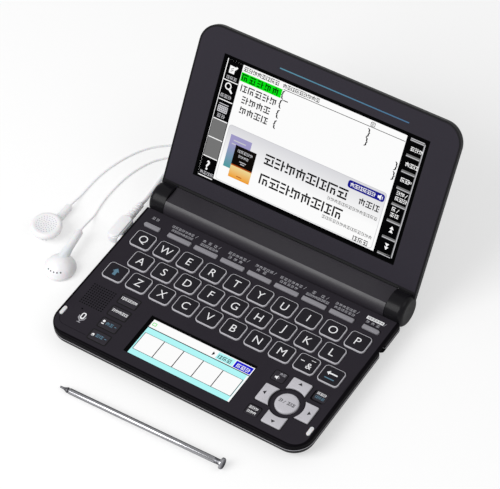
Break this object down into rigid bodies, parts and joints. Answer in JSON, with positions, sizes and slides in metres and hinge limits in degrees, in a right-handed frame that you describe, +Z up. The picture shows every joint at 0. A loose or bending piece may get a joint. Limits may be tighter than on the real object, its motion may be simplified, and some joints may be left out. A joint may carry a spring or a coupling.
{
  "type": "electronic dictionary",
  "caption": "Pocket electronic dictionary with hinged lid, main display, keyboard, touch panel, stylus and earphones.",
  "frame": {"origin": "middle of the bottom case's flat underside, between the side walls and between the front edge and the back of the hinge barrel", "axes": "+X to the right, +Y from the front edge to the hinge, +Z up through the keyboard deck"},
  "size_m": [0.195, 0.2022, 0.0899],
  "materials": {
    "case_black": "satin black plastic with fine moulded grain",
    "deck_charcoal": "satin charcoal plastic with a slight purple tint",
    "key_charcoal": "dark face with a clear rim and a white legend",
    "flat_key_charcoal": "satin charcoal, nearly flush",
    "key_silver": "silver paint, satin",
    "bar_grey": "silver-grey paint",
    "display_main": "glossy black frame round a lit colour display",
    "display_touch": "glossy black frame round a lit touch display",
    "board_green": "solder mask",
    "rubber_grey": "silicone rubber",
    "rubber_black": "matt rubber",
    "inner_black": "moulded black plastic",
    "bumper_white": "soft white rubber",
    "cell_silver": "plain foil sleeve",
    "spring_steel": "nickel plated",
    "stylus_steel": "drawn steel tube",
    "earphone_white": "white moulded plastic",
    "cord_white": "white soft sheath"
  },
  "bodies": {
    "base": {"bottom_case": "case_black", "top_case": "deck_charcoal", "hinge_cover": "deck_charcoal", "batteries": "cell_silver", "battery_contacts": "spring_steel", "circuit_board": "board_green", "key_mat": "rubber_grey", "speaker": "inner_black", "earphone_jack": "inner_black", "touch_screen": "display_touch", "screws": "spring_steel", "feet": "rubber_black", "bumpers": "bumper_white", "hinge_pins": "spring_steel"},
    "lid": {"lid_front": "deck_charcoal", "lid_back": "case_black", "main_screen": "display_main"},
    "stylus_body": {"stylus": "stylus_steel"},
    "earphones": {"earphone_plug": "earphone_white", "earphone_cord": "cord_white", "earphone_coil": "cord_white", "cord_slider": "earphone_white", "lead_coil": "cord_white", "ear_leads": "cord_white", "earpieces": "earphone_white"},
    "battery_door": {"battery_cover": "case_black"},
    "key_q_body": {"key_q": "key_charcoal"},
    "key_w_body": {"key_w": "key_charcoal"},
    "key_e_body": {"key_e": "key_charcoal"},
    "key_r_body": {"key_r": "key_charcoal"},
    "key_t_body": {"key_t": "key_charcoal"},
    "key_y_body": {"key_y": "key_charcoal"},
    "key_u_body": {"key_u": "key_charcoal"},
    "key_i_body": {"key_i": "key_charcoal"},
    "key_o_body": {"key_o": "key_charcoal"},
    "key_p_body": {"key_p": "key_charcoal"},
    "key_a_body": {"key_a": "key_charcoal"},
    "key_s_body": {"key_s": "key_charcoal"},
    "key_d_body": {"key_d": "key_charcoal"},
    "key_f_body": {"key_f": "key_charcoal"},
    "key_g_body": {"key_g": "key_charcoal"},
    "key_h_body": {"key_h": "key_charcoal"},
    "key_j_body": {"key_j": "key_charcoal"},
    "key_k_body": {"key_k": "key_charcoal"},
    "key_l_body": {"key_l": "key_charcoal"},
    "key_shift_body": {"key_shift": "key_charcoal"},
    "key_z_body": {"key_z": "key_charcoal"},
    "key_x_body": {"key_x": "key_charcoal"},
    "key_c_body": {"key_c": "key_charcoal"},
    "key_v_body": {"key_v": "key_charcoal"},
    "key_b_body": {"key_b": "key_charcoal"},
    "key_n_body": {"key_n": "key_charcoal"},
    "key_m_body": {"key_m": "key_charcoal"},
    "key_symbol_body": {"key_symbol": "key_charcoal"},
    "key_delete_body": {"key_delete": "key_charcoal"},
    "function_keys_body": {"function_keys": "bar_grey"},
    "side_keys_body": {"side_keys": "flat_key_charcoal"},
    "arrow_keys_body": {"arrow_keys": "key_silver"},
    "enter_key_body": {"enter_key": "key_silver"},
    "corner_keys_body": {"corner_keys": "flat_key_charcoal"}
  },
  "joints": [
    {"name": "lid_hinge", "type": "hinge", "parent": "base", "child": "lid", "pos_m": [0, 0.04425, 0.0092], "axis": [1, 0, 0], "range_deg": [-17, 123]},
    {"name": "stylus_lift", "type": "slide", "parent": "base", "child": "stylus_body", "axis": [0, 0, 1], "range_m": [0, 0.04]},
    {"name": "earphone_pull", "type": "slide", "parent": "base", "child": "earphones", "axis": [-1, 0, 0], "range_m": [0, 0.016]},
    {"name": "battery_cover_slide", "type": "slide", "parent": "base", "child": "battery_door", "axis": [0, 1, 0], "range_m": [0, 0.02]},
    {"name": "key_q_press", "type": "slide", "parent": "base", "child": "key_q_body", "axis": [0, 0, -1], "range_m": [0, 0.0009], "stiffness_N_per_m": 600},
    {"name": "key_w_press", "type": "slide", "parent": "base", "child": "key_w_body", "axis": [0, 0, -1], "range_m": [0, 0.0009], "stiffness_N_per_m": 600},
    {"name": "key_e_press", "type": "slide", "parent": "base", "child": "key_e_body", "axis": [0, 0, -1], "range_m": [0, 0.0009], "stiffness_N_per_m": 600},
    {"name": "key_r_press", "type": "slide", "parent": "base", "child": "key_r_body", "axis": [0, 0, -1], "range_m": [0, 0.0009], "stiffness_N_per_m": 600},
    {"name": "key_t_press", "type": "slide", "parent": "base", "child": "key_t_body", "axis": [0, 0, -1], "range_m": [0, 0.0009], "stiffness_N_per_m": 600},
    {"name": "key_y_press", "type": "slide", "parent": "base", "child": "key_y_body", "axis": [0, 0, -1], "range_m": [0, 0.0009], "stiffness_N_per_m": 600},
    {"name": "key_u_press", "type": "slide", "parent": "base", "child": "key_u_body", "axis": [0, 0, -1], "range_m": [0, 0.0009], "stiffness_N_per_m": 600},
    {"name": "key_i_press", "type": "slide", "parent": "base", "child": "key_i_body", "axis": [0, 0, -1], "range_m": [0, 0.0009], "stiffness_N_per_m": 600},
    {"name": "key_o_press", "type": "slide", "parent": "base", "child": "key_o_body", "axis": [0, 0, -1], "range_m": [0, 0.0009], "stiffness_N_per_m": 600},
    {"name": "key_p_press", "type": "slide", "parent": "base", "child": "key_p_body", "axis": [0, 0, -1], "range_m": [0, 0.0009], "stiffness_N_per_m": 600},
    {"name": "key_a_press", "type": "slide", "parent": "base", "child": "key_a_body", "axis": [0, 0, -1], "range_m": [0, 0.0009], "stiffness_N_per_m": 600},
    {"name": "key_s_press", "type": "slide", "parent": "base", "child": "key_s_body", "axis": [0, 0, -1], "range_m": [0, 0.0009], "stiffness_N_per_m": 600},
    {"name": "key_d_press", "type": "slide", "parent": "base", "child": "key_d_body", "axis": [0, 0, -1], "range_m": [0, 0.0009], "stiffness_N_per_m": 600},
    {"name": "key_f_press", "type": "slide", "parent": "base", "child": "key_f_body", "axis": [0, 0, -1], "range_m": [0, 0.0009], "stiffness_N_per_m": 600},
    {"name": "key_g_press", "type": "slide", "parent": "base", "child": "key_g_body", "axis": [0, 0, -1], "range_m": [0, 0.0009], "stiffness_N_per_m": 600},
    {"name": "key_h_press", "type": "slide", "parent": "base", "child": "key_h_body", "axis": [0, 0, -1], "range_m": [0, 0.0009], "stiffness_N_per_m": 600},
    {"name": "key_j_press", "type": "slide", "parent": "base", "child": "key_j_body", "axis": [0, 0, -1], "range_m": [0, 0.0009], "stiffness_N_per_m": 600},
    {"name": "key_k_press", "type": "slide", "parent": "base", "child": "key_k_body", "axis": [0, 0, -1], "range_m": [0, 0.0009], "stiffness_N_per_m": 600},
    {"name": "key_l_press", "type": "slide", "parent": "base", "child": "key_l_body", "axis": [0, 0, -1], "range_m": [0, 0.0009], "stiffness_N_per_m": 600},
    {"name": "key_shift_press", "type": "slide", "parent": "base", "child": "key_shift_body", "axis": [0, 0, -1], "range_m": [0, 0.0009], "stiffness_N_per_m": 600},
    {"name": "key_z_press", "type": "slide", "parent": "base", "child": "key_z_body", "axis": [0, 0, -1], "range_m": [0, 0.0009], "stiffness_N_per_m": 600},
    {"name": "key_x_press", "type": "slide", "parent": "base", "child": "key_x_body", "axis": [0, 0, -1], "range_m": [0, 0.0009], "stiffness_N_per_m": 600},
    {"name": "key_c_press", "type": "slide", "parent": "base", "child": "key_c_body", "axis": [0, 0, -1], "range_m": [0, 0.0009], "stiffness_N_per_m": 600},
    {"name": "key_v_press", "type": "slide", "parent": "base", "child": "key_v_body", "axis": [0, 0, -1], "range_m": [0, 0.0009], "stiffness_N_per_m": 600},
    {"name": "key_b_press", "type": "slide", "parent": "base", "child": "key_b_body", "axis": [0, 0, -1], "range_m": [0, 0.0009], "stiffness_N_per_m": 600},
    {"name": "key_n_press", "type": "slide", "parent": "base", "child": "key_n_body", "axis": [0, 0, -1], "range_m": [0, 0.0009], "stiffness_N_per_m": 600},
    {"name": "key_m_press", "type": "slide", "parent": "base", "child": "key_m_body", "axis": [0, 0, -1], "range_m": [0, 0.0009], "stiffness_N_per_m": 600},
    {"name": "key_symbol_press", "type": "slide", "parent": "base", "child": "key_symbol_body", "axis": [0, 0, -1], "range_m": [0, 0.0009], "stiffness_N_per_m": 600},
    {"name": "key_delete_press", "type": "slide", "parent": "base", "child": "key_delete_body", "axis": [0, 0, -1], "range_m": [0, 0.0009], "stiffness_N_per_m": 600},
    {"name": "function_keys_press", "type": "slide", "parent": "base", "child": "function_keys_body", "axis": [0, 0, -1], "range_m": [0, 0.0009], "stiffness_N_per_m": 600},
    {"name": "side_keys_press", "type": "slide", "parent": "base", "child": "side_keys_body", "axis": [0, 0, -1], "range_m": [0, 0.0009], "stiffness_N_per_m": 600},
    {"name": "arrow_keys_press", "type": "slide", "parent": "base", "child": "arrow_keys_body", "axis": [0, 0, -1], "range_m": [0, 0.0009], "stiffness_N_per_m": 600},
    {"name": "enter_key_press", "type": "slide", "parent": "base", "child": "enter_key_body", "axis": [0, 0, -1], "range_m": [0, 0.0009], "stiffness_N_per_m": 600},
    {"name": "corner_keys_press", "type": "slide", "parent": "base", "child": "corner_keys_body", "axis": [0, 0, -1], "range_m": [0, 0.0009], "stiffness_N_per_m": 600}
  ]
}
